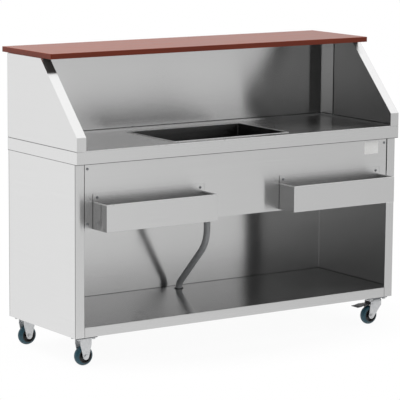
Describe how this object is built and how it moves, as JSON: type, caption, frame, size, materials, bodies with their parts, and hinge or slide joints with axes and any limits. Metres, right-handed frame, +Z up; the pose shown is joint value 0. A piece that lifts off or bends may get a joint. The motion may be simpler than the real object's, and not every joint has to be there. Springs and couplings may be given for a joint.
{
  "type": "mobile bar unit",
  "caption": "Stainless mobile bar on castors: open cabinet with shelf, sunk ice bin with drain hose, front bottle racks and a raised wooden bar top on a sloped riser.",
  "frame": {"origin": "on the floor, in the middle of the outline seen from above", "axes": "+X along the bar to the right of a bartender who stands at -Y and looks at it, +Y towards the guests, +Z up"},
  "size_m": [1.504, 0.642, 1.151],
  "materials": {
    "stainless_steel": "brushed, half bright",
    "bar_laminate": "red-brown laminate, satin",
    "zinc_steel": "zinc plated",
    "dark_plate": "dull plated",
    "blue_tyre": "smooth rubber",
    "black_nylon": "moulded",
    "black_steel": "black coated",
    "dark_fastener": "dark screw heads",
    "bright_fastener": "bright",
    "chromed_brass": "chromed",
    "grey_pvc": "smooth hose",
    "black_rubber": "matt"
  },
  "bodies": {
    "cabinet": {"base_shelf": "stainless_steel", "left_side_panel": "stainless_steel", "right_side_panel": "stainless_steel", "lower_back_panel": "stainless_steel", "front_fascia": "stainless_steel", "fascia_strips": "stainless_steel", "worktop": "stainless_steel", "worktop_rim": "stainless_steel", "worktop_apron": "stainless_steel", "ice_bin": "stainless_steel", "left_riser_panel": "stainless_steel", "right_riser_panel": "stainless_steel", "riser_back_panel": "stainless_steel", "left_bottle_rack": "stainless_steel", "right_bottle_rack": "stainless_steel", "left_castor_rail": "stainless_steel", "right_castor_rail": "stainless_steel", "left_fascia_bracket": "stainless_steel", "right_fascia_bracket": "stainless_steel", "top_strip": "stainless_steel", "back_panel_rivets": "bright_fastener", "fascia_screws": "dark_fastener", "rack_screws": "dark_fastener", "riser_screws": "bright_fastener", "bar_top_screws": "bright_fastener", "castor_bolts": "zinc_steel", "castor_nuts": "zinc_steel", "drain_flange": "chromed_brass", "drain_nut": "chromed_brass", "drain_gasket": "black_rubber", "shelf_grommet": "black_rubber", "drain_hose": "grey_pvc", "hose_clip": "bright_fastener", "bar_top": "bar_laminate", "front_left_fork": "zinc_steel", "front_left_axle": "zinc_steel", "rear_left_fork": "zinc_steel", "rear_left_axle": "zinc_steel", "front_right_plate": "dark_plate", "front_right_kingpin": "zinc_steel", "rear_right_plate": "dark_plate", "rear_right_kingpin": "zinc_steel"},
    "front_left_wheel": {"front_left_hub": "black_nylon", "front_left_tyre": "blue_tyre"},
    "rear_left_wheel": {"rear_left_hub": "black_nylon", "rear_left_tyre": "blue_tyre"},
    "front_right_wheel": {"front_right_hub": "black_nylon", "front_right_tyre": "blue_tyre"},
    "front_right_swivel": {"front_right_fork": "zinc_steel", "front_right_axle": "zinc_steel", "front_right_balls": "bright_fastener", "front_right_brake_pin": "zinc_steel"},
    "front_right_brake": {"front_right_pedal": "black_steel"},
    "rear_right_wheel": {"rear_right_hub": "black_nylon", "rear_right_tyre": "blue_tyre"},
    "rear_right_swivel": {"rear_right_fork": "zinc_steel", "rear_right_axle": "zinc_steel", "rear_right_balls": "bright_fastener", "rear_right_brake_pin": "zinc_steel"},
    "rear_right_brake": {"rear_right_pedal": "black_steel"}
  },
  "joints": [
    {"name": "front_left_roll", "type": "hinge", "parent": "cabinet", "child": "front_left_wheel", "pos_m": [-0.694, -0.191, 0.0375], "axis": [0, 1, 0], "continuous": true},
    {"name": "rear_left_roll", "type": "hinge", "parent": "cabinet", "child": "rear_left_wheel", "pos_m": [-0.694, 0.227, 0.0375], "axis": [0, 1, 0], "continuous": true},
    {"name": "front_right_swivel_turn", "type": "hinge", "parent": "cabinet", "child": "front_right_swivel", "pos_m": [0.686, -0.191, 0.112], "axis": [0, 0, 1], "continuous": true},
    {"name": "front_right_roll", "type": "hinge", "parent": "front_right_swivel", "child": "front_right_wheel", "pos_m": [0.659, -0.191, 0.0375], "axis": [0, 1, 0], "continuous": true},
    {"name": "front_right_brake_tip", "type": "hinge", "parent": "front_right_swivel", "child": "front_right_brake", "pos_m": [0.666, -0.191, 0.0851], "axis": [0, -1, 0], "range_deg": [0, 11]},
    {"name": "rear_right_swivel_turn", "type": "hinge", "parent": "cabinet", "child": "rear_right_swivel", "pos_m": [0.686, 0.227, 0.112], "axis": [0, 0, 1], "continuous": true},
    {"name": "rear_right_roll", "type": "hinge", "parent": "rear_right_swivel", "child": "rear_right_wheel", "pos_m": [0.659, 0.227, 0.0375], "axis": [0, 1, 0], "continuous": true},
    {"name": "rear_right_brake_tip", "type": "hinge", "parent": "rear_right_swivel", "child": "rear_right_brake", "pos_m": [0.666, 0.227, 0.0851], "axis": [0, -1, 0], "range_deg": [0, 11]}
  ]
}
